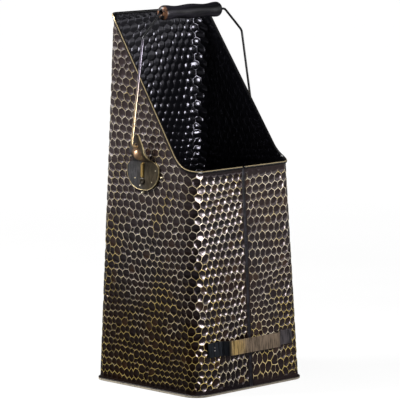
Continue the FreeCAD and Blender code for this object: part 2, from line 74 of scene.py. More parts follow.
# Ears and tilt strap
PIVOT_SETBACK = 9.0
PIVOT_HEIGHT = 321.0
EAR_SHEET = 2.0
EAR_WIDTH = 60.0
EAR_FOOT = 57.5
EAR_SHOULDER = 24.5
EAR_WAIST = 17.0
EAR_FOOT_ROUND = 26.0
EAR_SHOULDER_ROUND = 9.0
EAR_WAIST_ROUND = 7.0
NECK_WIDTH = 25.5
RAMP_FOOT = 19.5
NOSE_DROP = 10.2
NOSE_RADIUS = 7.5
STRAP_HEIGHT = 60.0
STRAP_WIDTH = 19.0
STRAP_SHEET = 1.8
STRAP_LENGTH = 158.0
STRAP_CORNER = 2.5
STRAP_FOOT_SPAN = 108.0
CROWN_LENGTH = 90.0
CROWN_STANDOFF = 11.0
EDGE_RADIUS = 0.5
EDGE_STEPS = 120
EDGE_SIDES = 8

# Beads of solder and spot marks: their places, and the radius and rise of each kind
EAR_SOLDER = ((-25.0, 282.0), (9.8, 259.8))
EAR_SPOTS = ((-14.8, 290.5), (23.4, 277.8), (13.6, 268.8), (-8.0, 274.8))
STRAP_SPOT_X = -66.7
STRAP_SPOTS = (58.6, 62.6)
SOLDER_BEAD = (1.9, 2.1)
EAR_SPOT_BEAD = (1.1, 0.3)
STRAP_SPOT_BEAD = (0.9, 0.3)
SIDE_TILT = 0.03
FRONT_TILT = 0.05

# Hammer marks on the unrolled sheet: rows, width of a cell at some heights, and waves of the rows
MEAN_GIRTH = 700.0
ROW_PITCH = 10.0
WIDTH_HEIGHTS = (60.0, 210.0, 290.0, 430.0)
CELL_WIDTHS = (9.2, 10.8, 12.2, 12.8)
CELL_JITTER = 0.13
SPARE_CELLS = 3
EVENING_ROUNDS = 3
ROW_WAVE = 2.2
SHORT_WAVE = (37.0, 29.0)
LONG_WAVE = (83.0, 48.0)
FOOT_ZONE = 62.0
FOOT_STRETCH = 1.32
SIDE_SQUEEZE = 0.88

# Dishes: their depth, and two rings by their share of the way out and of the depth
DISH = 1.15
DISH_SPREAD = 0.25
DISH_RINGS = ((0.84, 0.42), (0.5, 0.86))
ROUNDED = 0.5
SHALLOW = 0.6

# Parts of the girth, from the front's middle by the left side, where the marks change
FRONT_START = 0.38
FRONT_BLEND = 0.06
SQUEEZE_START = 0.12
RUB_START = 0.13
LEFT_END = 0.42
LEFT_BLEND = 0.05
SHALLOW_START = 0.9
SHALLOW_BLEND = 0.04

# Gold on the ridges: how much upright ones lose, everywhere and low on the left side. This is painted shade,
# for light that falls from above.
UPRIGHT_SHADE = 0.4
UPRIGHT_SHADE_LOW = 0.85
UPRIGHT_SHADE_TOP = 260.0
UPRIGHT_SHADE_GAIN = 1.5
UPRIGHT_START = 0.6
UPRIGHT_BLEND = 0.3

# Margins that the hammer leaves smooth, and the bumps inside
RIM_MARGIN = 2.5
FRONT_BAND = 7.0
BAND_DEPTH = 0.75
FOOT_MARGIN = 3.0
MARGIN_BLEND = 3.0
NEARBY = 0.002
FLAT_FACE = 1e-3
INSIDE_LOW = 0.42
INSIDE_FOLD = 1.7

# Roll of the rim, and the facing at which its gold line starts
RIM_STEPS = 420
RIM_SIDES = 16
RUB_DIAGONAL = 0.71
RIM_RUB_START = 0.92
RIM_RUB_BLEND = 0.07


# Form of the wrapped sheet
def share(z):
    """Part of the wall's rise that is reached at a height."""
    return (z - FOOT) / (BACK_HEIGHT - FOOT)


def half_width(z):
    return BASE_WIDTH / 2 - (BASE_WIDTH - TOP_WIDTH) / 2 * share(z)


def front_y(z):
    return -BASE_DEPTH / 2 + FRONT_INSET * share(z)


def back_y(z):
    return BASE_DEPTH / 2 - BACK_INSET * share(z)


def outline(part, z, inset=0.0):
    """Points and outward directions of the body's outline, by the part of its girth from the front's middle.

    The way round goes from the front's middle to the left side, the back and the right side.
    """
    part = np.asarray(part, float)
    z = np.asarray(z, float)
    half = half_width(z) - inset
    front = front_y(z) + inset
    back = back_y(z) - inset
    radius = BEND - inset
    run = half - radius
    arc = math.pi / 2 * radius
    side = back - front - 2 * radius
    whole = 4 * run + 4 * arc + 2 * side
    mirrored = part > 0.5
    way = np.where(mirrored, 1 - part, part) * whole
    past = [way - run]
    for length in (arc, side, arc):
        past.append(past[-1] - length)
    angle_front = np.clip(past[0] / radius, 0, math.pi / 2)
    angle_back = np.clip(past[2] / radius, 0, math.pi / 2)
    turn = angle_front + angle_back
    along_front = np.clip(way, 0, run)
    along_side = np.clip(past[1], 0, side)
    along_back = np.clip(past[3], 0, run)
    x = -along_front - radius * np.sin(angle_front) + radius * (1 - np.cos(angle_back)) + along_back
    y = front + radius * (1 - np.cos(angle_front)) + along_side + radius * np.sin(angle_back)
    out_x = -np.sin(turn)
    out_y = -np.cos(turn)
    flip = np.where(mirrored, -1.0, 1.0)
    return x * flip, y, out_x * flip, out_y


def girth(z):
    """Length round the outside of the body at a height."""
    straight = 2 * (2 * half_width(z) + back_y(z) - front_y(z))
    return straight - (8 - 2 * math.pi) * BEND


def mouth_height(y):
    """Height of the mouth's line over a place between front and back."""
    low = front_y(FRONT_HEIGHT) + FRONT_LAND
    high = back_y(BACK_HEIGHT) - TOP_LAND
    slope = math.atan2(BACK_HEIGHT - FRONT_HEIGHT, high - low)
    reach_low = MOUTH_HOLLOW * math.tan(slope / 2)
    reach_high = MOUTH_SHOULDER * math.tan(slope / 2)
    y = np.asarray(y, float)
    into_hollow = np.clip(y - (low - reach_low), 0, MOUTH_HOLLOW * math.sin(slope))
    hollow = FRONT_HEIGHT + MOUTH_HOLLOW - np.sqrt(MOUTH_HOLLOW ** 2 - into_hollow ** 2)
    over = np.clip((high + reach_high) - y, 0, MOUTH_SHOULDER * math.sin(slope))
    shoulder = BACK_HEIGHT - MOUTH_SHOULDER + np.sqrt(MOUTH_SHOULDER ** 2 - over ** 2)
    straight = FRONT_HEIGHT + (y - low) * math.tan(slope)
    past_hollow = y > low + reach_low * math.cos(slope)
    past_straight = y > high - reach_high * math.cos(slope)
    return np.where(past_straight, shoulder, np.where(past_hollow, straight, hollow))


def top_of_wall(part, inset=0.0):
    """Height at which the wall ends, found by walking up to the mouth's line."""
    z = np.full(np.shape(part), FRONT_HEIGHT)
    for step in range(MOUTH_ROUNDS):
        z = mouth_height(outline(part, z, inset=inset)[1])
    return z


def smooth_step(x):
    """Rise from 0 to 1, level at both ends."""
    x = np.clip(x, 0, 1)
    return x * x * (3 - 2 * x)


def ripple(place, waves):
    """Sum of waves, each with its size and its length."""
    return sum(size * math.sin(place / length) for size, length in waves)


# Mesh making
def new_piece(name, points_mm, faces):
    """Smooth mesh object from points in millimetres, riding on the hod."""
    mesh = bpy.data.meshes.new(name)
    mesh.from_pydata([tuple(p) for p in np.asarray(points_mm) * MM], [], [tuple(f) for f in faces])
    mesh.validate()
    mesh.polygons.foreach_set("use_smooth", [True] * len(mesh.polygons))
    piece = bpy.data.objects.new(name, mesh)
    bpy.context.scene.collection.objects.link(piece)
    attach(piece, "hod")
    return piece


def add_values(piece, name, values):
    """Number for each point of a mesh, for its material to read."""
    layer = piece.data.attributes.new(name, "FLOAT", "POINT")
    layer.data.foreach_set("value", np.asarray(values, np.float32))


def swept_tube(path, radius, sides, up=(0, 0, 1)):
    """Points and faces of a round tube along an open path, closed at both ends."""
    path = np.asarray(path, float)
    ahead = np.gradient(path, axis=0)
    ahead /= np.linalg.norm(ahead, axis=1)[:, None]
    across = np.cross(ahead, np.asarray(up, float))
    across /= np.linalg.norm(across, axis=1)[:, None]
    upward = np.cross(across, ahead)
    angles = np.arange(sides) * 2 * math.pi / sides
    rings = (
        path[:, None, :]
        + radius * np.cos(angles)[None, :, None] * across[:, None, :]
        + radius * np.sin(angles)[None, :, None] * upward[:, None, :]
    )
    faces = []
    for ring in range(len(path) - 1):
        for k in range(sides):
            follow = (k + 1) % sides
            a, b = ring * sides, (ring + 1) * sides
            faces.append((a + k, a + follow, b + follow, b + k))
    faces.append(tuple(range(sides))[::-1])
    faces.append(tuple((len(path) - 1) * sides + k for k in range(sides)))
    return rings.reshape(-1, 3), faces


# Hammered sheet
def left_side(part, start):
    """Share of the left side at a part of the girth, from the part at which it starts."""
    return smooth_step((part - start) / LEFT_BLEND) * smooth_step((LEFT_END - part) / LEFT_BLEND)


class HammerMarks:
    """Hammer marks over the unrolled sheet: rows of cells, wider and fewer higher up."""

    def __init__(self):
        rng = np.random.default_rng(SEED)
        marks = []
        for row in range(-SPARE_CELLS, int(BACK_HEIGHT / ROW_PITCH) + SPARE_CELLS + 1):
            height = row * ROW_PITCH
            width = np.interp(height, WIDTH_HEIGHTS, CELL_WIDTHS)
            count = round(girth(height) / width)
            for column in range(-SPARE_CELLS, count + SPARE_CELLS + 1):
                marks.append(((column + 0.5 * (row % 2)) * MEAN_GIRTH / count, height))
        self.places = np.array(marks)
        for turn in range(EVENING_ROUNDS):
            self.find_cells()
            self.even_out()
        u, v = self.places.T
        wave = np.sin(u / SHORT_WAVE[0] + v / SHORT_WAVE[1]) + np.sin(u / LONG_WAVE[0] - v / LONG_WAVE[1])
        self.places[:, 1] += ROW_WAVE * wave
        below = np.minimum(self.places[:, 1] - FOOT_ZONE, 0)
        self.places[:, 1] += (self.stretch(u) - 1) * below
        self.places += rng.normal(0, CELL_JITTER * ROW_PITCH, self.places.shape)
        self.find_cells()
        self.tone = rng.random(len(self.places))
        right_of_lap = smooth_step((self.places[:, 0] / MEAN_GIRTH - SHALLOW_START) / SHALLOW_BLEND)
        spread = 1 - DISH_SPREAD + 2 * DISH_SPREAD * rng.random(len(self.places))
        self.depth = DISH * spread * (1 - (1 - SHALLOW) * right_of_lap)

    def stretch(self, u):
        """How tall the cells stand near the foot: long ones over the front, flat ones over the left side."""
        part = u / MEAN_GIRTH
        front = smooth_step((np.abs(part - 0.5) - FRONT_START) / FRONT_BLEND)
        left = left_side(part, SQUEEZE_START)
        return 1 + (FOOT_STRETCH - 1) * front + (SIDE_SQUEEZE - 1) * left

    def find_cells(self):
        """One corner in each triangle of neighbouring marks, and the corners round each mark in order."""
        found = delaunay_2d_cdt([Vector(place) for place in self.places], [], [], 0, 1e-5)
        self.places = np.array([tuple(place) for place in found[0]])
        triangles = [list(triangle) for triangle in found[2]]
        self.corners = self.places[np.array(triangles)].mean(axis=1)
        self.cells = [[] for place in self.places]
        for index, triangle in enumerate(triangles):
            for mark in triangle:
                self.cells[mark].append(index)
        for mark, around in enumerate(self.cells):
            away = self.corners[around] - self.places[mark]
            self.cells[mark] = [around[k] for k in np.argsort(np.arctan2(away[:, 1], away[:, 0]))]

    def rub(self, start, finish):
        """How far a side of a cell is rubbed to gold, with painted shade on upright sides: they lose gold
        everywhere, most low on the left side.
        """
        across, up = np.abs(finish - start)
        part, height = (start + finish) / 2 / (MEAN_GIRTH, 1)
        low_left = left_side(part, RUB_START) * smooth_step((UPRIGHT_SHADE_TOP - height) / UPRIGHT_SHADE_TOP * UPRIGHT_SHADE_GAIN)
        upright = smooth_step((up / (across + up + 1e-6) - UPRIGHT_START) / UPRIGHT_BLEND)
        # Painted shade: upright sides lose some of their gold.
        return 1 - upright * (UPRIGHT_SHADE + (UPRIGHT_SHADE_LOW - UPRIGHT_SHADE) * low_left)

    def inside(self, mark):
        """True for a mark that touches the sheet, so that its cell is whole."""
        u, v = self.places[mark]
        over = 1.5 * ROW_PITCH
        return -over < u < MEAN_GIRTH + over and -ROW_PITCH < v < BACK_HEIGHT + ROW_PITCH

    def even_out(self):
        """Draw each mark to the middle of its cell."""
        for mark, around in enumerate(self.cells):
            if self.inside(mark):
                self.places[mark] = self.corners[around].mean(axis=0)


class Net:
    """Points and faces of a wall of hammer marks, on the unrolled sheet."""

    def __init__(self):
        self.points = []
        self.level = []
        self.ridge = []
        self.tone = []
        self.faces = []
        self.shared = {}

    def add(self, place, level, ridge, tone, key=None):
        """Number of a point, which neighbouring cells share where it has a key."""
        if key in self.shared:
            return self.shared[key]
        self.points.append(tuple(place))
        self.level.append(level)
        self.ridge.append(ridge)
        self.tone.append(tone)
        if key is not None:
            self.shared[key] = len(self.points) - 1
        return len(self.points) - 1

    def add_border(self, marks, around, edge_parts):
        """Outline of a cell, with each side cut into equal parts."""
        border = []
        for here, ahead in zip(around, around[1:] + around[:1]):
            start, finish = marks.corners[here], marks.corners[ahead]
            border.append(self.add(start, 0.0, 1.0, 0.5, (here,)))
            rub = marks.rub(start, finish)
            for step in range(1, edge_parts):
                key = (here, ahead, step) if here < ahead else (ahead, here, edge_parts - step)
                place = start + (finish - start) * step / edge_parts
                border.append(self.add(place, 0.0, rub, 0.5, key))
        return border

    def add_cell(self, marks, mark, edge_parts):
        """Dish of one hammer mark, in rings from its outline to its middle."""
        around = marks.cells[mark]
        middle = marks.corners[around].mean(axis=0)
        depth, tone = marks.depth[mark], marks.tone[mark]
        border = self.add_border(marks, around, edge_parts)
        away = np.array([self.points[index] for index in border]) - middle
        reach = np.linalg.norm(away, axis=1)[:, None]
        rounded = away * (1 - ROUNDED + ROUNDED * reach.mean() / np.maximum(reach, 1e-6))
        outer = border
        count = len(border)
        for share_out, share_down in DISH_RINGS:
            ring = middle + share_out * (share_out * away + (1 - share_out) * rounded)
            inner = [self.add(place, share_down * depth, 0.0, tone) for place in ring]
            for k in range(count):
                follow = (k + 1) % count
                self.faces.append((outer[k], outer[follow], inner[follow], inner[k]))
            outer = inner
        tip = self.add(middle, depth, 0.0, tone)
        for k in range(count):
            self.faces.append((outer[k], outer[(k + 1) % count], tip))


def hammered_net(marks, edge_parts):
    """Net of all hammer marks that touch the sheet."""
    net = Net()
    for mark in range(len(marks.places)):
        if marks.inside(mark):
            net.add_cell(marks, mark, edge_parts)
    return net


def drop_flat(points, faces):
    """Faces that still have an area, with a point named once only in each."""
    kept = []
    for face in faces:
        corners = points[list(face)]
        edge_a = corners[1:-1] - corners[0]
        edge_b = corners[2:] - corners[0]
        area = np.abs(np.cross(edge_a, edge_b)).sum()
        if area > FLAT_FACE:
            kept.append(face)
    return kept


def inside_rise(x, y, z):
    """Share of the bumps' full rise inside: low on the left and right, high in the fold at the back right."""
    from_right = (half_width(z) - x) / BEND
    from_fold = np.maximum(from_right, (back_y(z) - y) / BEND)
    rise = INSIDE_LOW + (1 - INSIDE_LOW) * smooth_step(x / half_width(z) + 1)
    rise = rise + (INSIDE_FOLD - 1) * smooth_step(2 - from_fold)
    return rise * (1 - INSIDE_LOW * smooth_step(1.5 - from_right) * smooth_step(from_fold - 1.5))


def cut_to_mouth(net, inset):
    """Faces of a net that lie below the mouth, and the values of the points that they use."""
    sheet_u, sheet_v = np.array(net.points).T
    part = np.clip(sheet_u / MEAN_GIRTH, 0, 1)
    top = top_of_wall(part, inset)
    z = np.minimum(np.maximum(sheet_v, FOOT), top)
    faces = drop_flat(np.column_stack([part * MEAN_GIRTH, z]), net.faces)
    used = np.zeros(len(part), bool)
    used[[index for face in faces for index in face]] = True
    number = np.cumsum(used) - 1
    faces = [tuple(number[list(face)]) for face in faces]
    values = (part, z, top, np.array(net.level), np.array(net.ridge), np.array(net.tone))
    return faces, [value[used] for value in values]


def worked_shares(part, z, top, x, y):
    """How far the hammer has worked each point: fully, and faintly in the band under the front's rim."""
    after = top_of_wall(np.clip(part + NEARBY, 0, 1))
    before = top_of_wall(np.clip(part - NEARBY, 0, 1))
    square = 1 / np.hypot(1, np.abs(after - before) / (2 * NEARBY * MEAN_GIRTH))
    from_rim = (top - z) * square
    from_lap = np.minimum(part, 1 - part) * MEAN_GIRTH - LAP_LINE / 2
    on_front = smooth_step((half_width(z) - BEND - np.abs(x)) / BEND + 0.5) * (y < 0)
    rim_margin = RIM_MARGIN + (FRONT_BAND - RIM_MARGIN) * on_front
    off_foot = smooth_step((z - SEAM_HEIGHT - FOOT_MARGIN) / MARGIN_BLEND)
    worked = off_foot * smooth_step(from_lap / MARGIN_BLEND)
    full = worked * smooth_step((from_rim - rim_margin) / MARGIN_BLEND)
    faint = worked * smooth_step((from_rim - RIM_MARGIN) / MARGIN_BLEND)
    return full, faint


def hammered_wall(name, marks, edge_parts, inset, outward):
    """Wall of hammer marks, cut to the mouth. The marks are hollows seen from outside and bumps inside."""
    faces, (part, z, top, level, ridge, tone) = cut_to_mouth(hammered_net(marks, edge_parts), inset)
    x, y, out_x, out_y = outline(part, z, inset=inset)
    full, faint = worked_shares(part, z, top, x, y)
    sink = -level * (BAND_DEPTH * faint + (1 - BAND_DEPTH) * full)
    if not outward:
        sink = sink * inside_rise(x, y, z)
        faces = [face[::-1] for face in faces]
    points = np.column_stack([x + out_x * sink, y + out_y * sink, z])
    piece = new_piece(name, points, faces)
    add_values(piece, "ridge", ridge * full)
    add_values(piece, "tone", tone * full)
    return piece


def rim_rub(sides, steps):
    """Share of gold rub round the roll: strongest where it faces outward and up."""
    angles = np.arange(sides) * 2 * math.pi / sides
    facing = RUB_DIAGONAL * (np.sin(angles) - np.cos(angles))
    return np.tile(smooth_step((facing - RIM_RUB_START) / RIM_RUB_BLEND), steps)


def rim_line(steps):
    """Path of the roll along the mouth, from one side of the lap to the other."""
    start = RIM_GAP / 2 / girth(FRONT_HEIGHT)
    part = np.linspace(start, 1 - start, steps)
    z = top_of_wall(part)
    x, y = outline(part, z)[:2]
    return np.column_stack([x, y, z])


def lap_strip():
    """Smooth edge of the sheet that laps over its other edge down the front."""
    heights = np.linspace(SEAM_HEIGHT - 1.0, FRONT_HEIGHT, LAP_STEPS)
    half = LAP_LINE / 2
    left = [(-half, -LAP_EDGE), (-half, LAP_RISE / 2), (LAP_EDGE - half, LAP_RISE)]
    section = left + [(-across, out) for across, out in reversed(left)]
    points = []
    faces = []
    count = len(section)
    for height in heights:
        wander = ripple(height, LAP_WANDER)
        swell = 1 + ripple(height, LAP_SWELL)
        for across, out in section:
            points.append((swell * across + wander, front_y(height) - out, height))
    for ring in range(len(heights) - 1):
        for k in range(count - 1):
            a, b = ring * count + k, (ring + 1) * count + k
            faces.append((a, a + 1, b + 1, b))
    last = (len(heights) - 1) * count
    faces.append(tuple(last + k for k in range(count)))
    return points, faces


def rounded_loop(corners, steps=8):
    """Points of a closed outline from its corners, each with its rounding."""
    places = np.array([corner[:2] for corner in corners])
    points = []
    for k, (across, up, rounding) in enumerate(corners):
        back = places[k - 1] - places[k]
        on = places[(k + 1) % len(places)] - places[k]
        back /= np.linalg.norm(back)
        on /= np.linalg.norm(on)
        half = math.acos(np.clip(back @ on, -1, 1)) / 2
        reach = rounding / math.tan(half)
        inward = (back + on) / np.linalg.norm(back + on)
        centre = places[k] + inward * rounding / math.sin(half)
        start = places[k] + back * reach - centre
        finish = places[k] + on * reach - centre
        for share_on in np.linspace(0, 1, steps):
            arm = (1 - share_on) * start + share_on * finish
            points.append(centre + arm / np.linalg.norm(arm) * rounding)
    return np.array(points)


def ear_edge(side):
    """Path of the tube that paints a highlight on the edge round the flat foot of an ear: side 1 is the right
    one and -1 the left.
    """
    half = EAR_WIDTH / 2
    right = [
        (half, -EAR_FOOT, EAR_FOOT_ROUND),
        (half, -EAR_SHOULDER, EAR_SHOULDER_ROUND),
        (NECK_WIDTH / 2, -EAR_WAIST, EAR_WAIST_ROUND),
    ]
    left = [(-across, up, rounding) for across, up, rounding in reversed(right)]
    loop = rounded_loop(right + left)
    loop = np.roll(loop, -len(loop) // 2, axis=0)
    loop = loop[loop[:, 1] < -RAMP_FOOT]
    lean = math.atan2((BASE_WIDTH - TOP_WIDTH) / 2, BACK_HEIGHT - FOOT)
    out = EAR_SHEET - EDGE_RADIUS / 2
    x = side * (half_width(PIVOT_HEIGHT) + out * math.cos(lean) - loop[:, 1] * math.sin(lean))
    z = PIVOT_HEIGHT + out * math.sin(lean) + loop[:, 1] * math.cos(lean)
    return np.column_stack([x, PIVOT_SETBACK + loop[:, 0], z])


def strap_edge(side):
    """Path of the tube that paints a highlight on the edge of the tilt strap: side 1 is the upper one and -1
    the lower.
    """
    corners = [(-STRAP_LENGTH / 2, 0), (-STRAP_FOOT_SPAN / 2, 0), (-CROWN_LENGTH / 2, CROWN_STANDOFF)]
    corners += [(-across, out) for across, out in reversed(corners)]
    across, out = np.array(corners).T
    reach = STRAP_LENGTH / 2 - STRAP_CORNER
    x = np.linspace(-reach, reach, EDGE_STEPS)
    out = np.interp(x, across, out) + STRAP_SHEET - EDGE_RADIUS / 2
    lean = math.atan2(FRONT_INSET, BACK_HEIGHT - FOOT)
    up = side * (STRAP_WIDTH / 2 - EDGE_RADIUS / 2)
    y = front_y(STRAP_HEIGHT) - out * math.cos(lean) + up * math.sin(lean)
    z = STRAP_HEIGHT + out * math.sin(lean) + up * math.cos(lean)
    return np.column_stack([x, y, z])


def bead(middle, out, radius, rise, sides=12, rings=4):
    """Points and faces of a low round bead of solder, with its foot sunk in the surface it sits on."""
    out = np.asarray(out, float) / np.linalg.norm(out)
    across = np.cross(out, (0.0, 0.0, 1.0))
    across /= np.linalg.norm(across)
    upward = np.cross(across, out)
    points = []
    faces = []
    for ring in range(rings):
        lift = ring / rings * math.pi / 2
        reach = radius * math.cos(lift)
        height = 2 * rise * math.sin(lift) - rise
        for k in range(sides):
            turn = 2 * math.pi * k / sides
            points.append(middle + out * height + reach * (across * math.cos(turn) + upward * math.sin(turn)))
    points.append(middle + out * rise)
    for ring in range(rings - 1):
        for k in range(sides):
            a, b = ring * sides, (ring + 1) * sides
            follow = (k + 1) % sides
            faces.append((a + k, a + follow, b + follow, b + k))
    top = (rings - 1) * sides
    for k in range(sides):
        faces.append((top + k, top + (k + 1) % sides, len(points) - 1))
    return points, faces


def beads(places):
    """One mesh of several beads, each given by its middle, its outward direction, its radius and its rise."""
    points = []
    faces = []
    for place in places:
        more, around = bead(*place)
        faces += [tuple(index + len(points) for index in face) for face in around]
        points += more
    return points, faces


def ear_beads(side):
    """Solder at the edge of an ear and spot marks on its foot: side 1 is the right ear and -1 the left."""
    out = (side, 0.0, SIDE_TILT)
    places = []
    for along, height in EAR_SOLDER:
        middle = np.array((side * half_width(height), along, height))
        places.append((middle, out, *SOLDER_BEAD))
    for along, height in EAR_SPOTS:
        middle = np.array((side * (half_width(height) + EAR_SHEET), along, height))
        places.append((middle, out, *EAR_SPOT_BEAD))
    return beads(places)


def strap_beads():
    """Two spot marks on the left foot of the tilt strap."""
    places = []
    for height in STRAP_SPOTS:
        middle = np.array((STRAP_SPOT_X, front_y(height) - STRAP_SHEET, height))
        places.append((middle, (0.0, -1.0, FRONT_TILT), *STRAP_SPOT_BEAD))
    return beads(places)


# Material nodes
class Nodes:
    """Shorthand for building one material's node tree. Places are in metres, in the frame."""

    def __init__(self, name):
        self.material = bpy.data.materials.new(name)
        self.material.use_nodes = True
        self.tree = self.material.node_tree
        self.shader = self.tree.nodes["Principled BSDF"]
        self.place = self.add("ShaderNodeTexCoord").outputs["Object"]

    def add(self, kind, **settings):
        node = self.tree.nodes.new(kind)
        for word, value in settings.items():
            setattr(node, word, value)
        return node

    def link(self, source, target):
        self.tree.links.new(source, target)

    def feed(self, target, value):
        """Give an input another node's output, a colour or a number."""
        if isinstance(value, bpy.types.NodeSocket):
            self.link(value, target)
        elif isinstance(value, tuple):
            target.default_value = (*value, 1.0)
        else:
            target.default_value = value

    def attribute(self, name):
        return self.add("ShaderNodeAttribute", attribute_name=name).outputs["Fac"]

    def axis(self, word):
        split = self.add("ShaderNodeSeparateXYZ")
        self.link(self.place, split.inputs[0])
        return split.outputs[word]

    def noise(self, scale, detail=3.0, rough=0.55, stretch=(1, 1, 1)):
        mapping = self.add("ShaderNodeMapping")
        mapping.inputs["Scale"].default_value = stretch
        self.link(self.place, mapping.inputs["Vector"])
        node = self.add("ShaderNodeTexNoise")
        self.link(mapping.outputs["Vector"], node.inputs["Vector"])
        node.inputs["Scale"].default_value = scale
        node.inputs["Detail"].default_value = detail
        node.inputs["Roughness"].default_value = rough
        return node.outputs["Fac"]

    def math(self, operation, a, b=0.0):
        node = self.add("ShaderNodeMath", operation=operation)
        self.feed(node.inputs[0], a)
        self.feed(node.inputs[1], b)
        return node.outputs[0]

    def plus(self, a, b):
        return self.math("ADD", a, b)

    def minus(self, a, b):
        return self.math("SUBTRACT", a, b)

    def times(self, first, *others):
        for value in others:
            first = self.math("MULTIPLY", first, value)
        return first

    def size(self, value):
        return self.math("ABSOLUTE", value)

    def span(self, value, low, high, to_low=0.0, to_high=1.0):
        """Value carried from one range to another, smooth at both ends and held beyond them."""
        node = self.add("ShaderNodeMapRange", interpolation_type="SMOOTHSTEP")
        self.feed(node.inputs["Value"], value)
        node.inputs["From Min"].default_value = low
        node.inputs["From Max"].default_value = high
        node.inputs["To Min"].default_value = to_low
        node.inputs["To Max"].default_value = to_high
        return node.outputs["Result"]

    def mix(self, factor, a, b):
        """Blend of two colours."""
        node = self.add("ShaderNodeMix", data_type="RGBA")
        self.feed(node.inputs["Factor"], factor)
        self.feed(node.inputs["A"], a)
        self.feed(node.inputs["B"], b)
        return node.outputs["Result"]

    def bump(self, height, strength, distance):
        node = self.add("ShaderNodeBump")
        self.link(height, node.inputs["Height"])
        node.inputs["Strength"].default_value = strength
        node.inputs["Distance"].default_value = distance
        self.link(node.outputs["Normal"], self.shader.inputs["Normal"])

    def set(self, **inputs):
        """Inputs of the shader, with underscores for the spaces in their names."""
        for word, value in inputs.items():
            self.feed(self.shader.inputs[word.replace("_", " ")], value)
        return self.material


# Colours
BLACK = (0.002, 0.002, 0.0026)
INSIDE_BLACK = (0.003, 0.003, 0.004)
GUNMETAL = (0.012, 0.009, 0.009)
STAIN = (0.017, 0.015, 0.021)
BLUED_LACQUER = (0.002, 0.0012, 0.0018)
BROWN_LACQUER = (0.006, 0.002, 0.001)
UMBER_LACQUER = (0.03, 0.014, 0.005)
SHEEN_LACQUER = (0.025, 0.018, 0.018)
LACQUER_TINT = (1.0, 0.85, 0.88)
BROWN_TINT = (0.8, 0.5, 0.33)
INSIDE_TINT = (0.88, 0.86, 1.0)
TAN_GOLD = (0.64, 0.56, 0.43)
OLD_GOLD = (0.60, 0.45, 0.14)
BRASS = (0.30, 0.21, 0.09)
RIM_GOLD = (0.60, 0.47, 0.26)
STRAP_GOLD = (0.72, 0.49, 0.20)
STRAP_BROWN = (0.38, 0.285, 0.205)
STRAP_LEFT_FOOT = (0.03, 0.034, 0.042)
STRAP_RIGHT_FOOT = (0.16, 0.14, 0.148)
EAR_BLUE_REFLECTION = (0.17, 0.165, 0.17)
EAR_OLIVE_REFLECTION = (0.17, 0.135, 0.085)
NOSE_HIGHLIGHT = (0.52, 0.32, 0.19)
RIB_HIGHLIGHT = (0.62, 0.42, 0.14)
HIGHLIGHT_GOLD = (0.72, 0.60, 0.33)
WIRE_LOW_HIGHLIGHT = (0.60, 0.44, 0.26)
WIRE_HIGH_SHEEN = (0.17, 0.15, 0.19)
SOLDER_GLINT = (0.92, 0.83, 0.62)
WORN_COPPER = (0.20, 0.095, 0.05)

# Gloss of the lacquer, of the dishes outside and of the stain
LACQUER_GLOSS = 0.5
DISH_GLOSS = 0.75
STAIN_GLOSS = 0.25

# Zones of the hammered sheet in metres, and how far its colours change there
SIDE_LEAN = (BASE_WIDTH - TOP_WIDTH) / 2 / (BACK_HEIGHT - FOOT)
SIDE_ZONE = (0.093, 0.1)
FADE_ZONE = (0.26, 0.4)
FADED_GOLD = 0.36
SHEEN_ZONE = (0.14, 0.34)
LAP_ZONE = (0.002, 0.01)
SHEEN_RIGHT = 0.22
BROWN_ZONE = (0.04, 0.2)
DULL_ZONE = (0.28, 0.42)
FRONT_ZONE = (0.05, 0.08)
FRONT_YELLOW = 0.3
YELLOW_ZONE = (0.0, 0.2)
YELLOW_LIFT = 0.3

# Zones of the other pieces in metres
CROWN_BLEND = 0.004
STRAP_GOLD_ZONE = (-0.026, 0.002)
STRAP_CLOUDS = 0.03
FEET_ZONE = (-0.02, 0.02)
EAR_ZONE = (-0.012, 0.014)
NOSE_ZONE = (0.7 * NOSE_RADIUS * MM, 1.5 * NOSE_RADIUS * MM)
RIB_SIDE = (0.0018, 0.0024)
RIB_FOOT = (0.2795, 0.2805)
RIB_TOP = (0.2985, 0.3)
LEFT_LEG = (-0.08, -0.06)
LEG_HIGHLIGHT_ZONE = (0.45, 0.466)
LEG_SHEEN_ZONE = (0.345, 0.425)
PAN_EDGE = (0.0021, 0.0029)
PAN_LEFT = (-0.097, -0.085)
GRIP_END = (-0.057, -0.0545)


# Materials
def rubbed_share(nodes, side, up, grain):
    """How far the ridges show gold: rubbed in uneven patches, less high on the sides, and with the painted
    shade on upright sides that the ridge values carry.
    """
    ridge = nodes.span(nodes.attribute("ridge"), 0.35, 0.85)
    uneven = nodes.plus(nodes.times(nodes.noise(9.0, 2.0), 0.5), nodes.times(nodes.noise(75.0, 2.0), 0.7))
    worn = nodes.span(nodes.plus(uneven, nodes.times(grain, 0.2)), 0.45, 0.85, 0.3, 1.0)
    faded = nodes.times(side, nodes.span(up, *FADE_ZONE, 0.0, FADED_GOLD))
    return nodes.times(ridge, worn, nodes.minus(1.0, faded))


def dish_lacquer(nodes, side, up, across):
    """Bluish and brown clouds with some umber marks, and a painted sheen: paler high on the sides and right
    of the lap.
    """
    clouds = nodes.span(nodes.noise(14.0, 2.0), 0.35, 0.7)
    umber = nodes.span(nodes.attribute("tone"), 0.86, 0.97, 0.0, 0.55)
    dish = nodes.mix(umber, nodes.mix(clouds, BLUED_LACQUER, BROWN_LACQUER), UMBER_LACQUER)
    # Painted sheen: a paler lacquer in place of the dishes' reflection, high on the sides and right of the
    # lap.
    high_side = nodes.times(side, nodes.span(up, *SHEEN_ZONE))
    right_of_lap = nodes.span(across, *LAP_ZONE, 0.0, SHEEN_RIGHT)
    return nodes.mix(nodes.math("MAXIMUM", high_side, right_of_lap), dish, SHEEN_LACQUER)


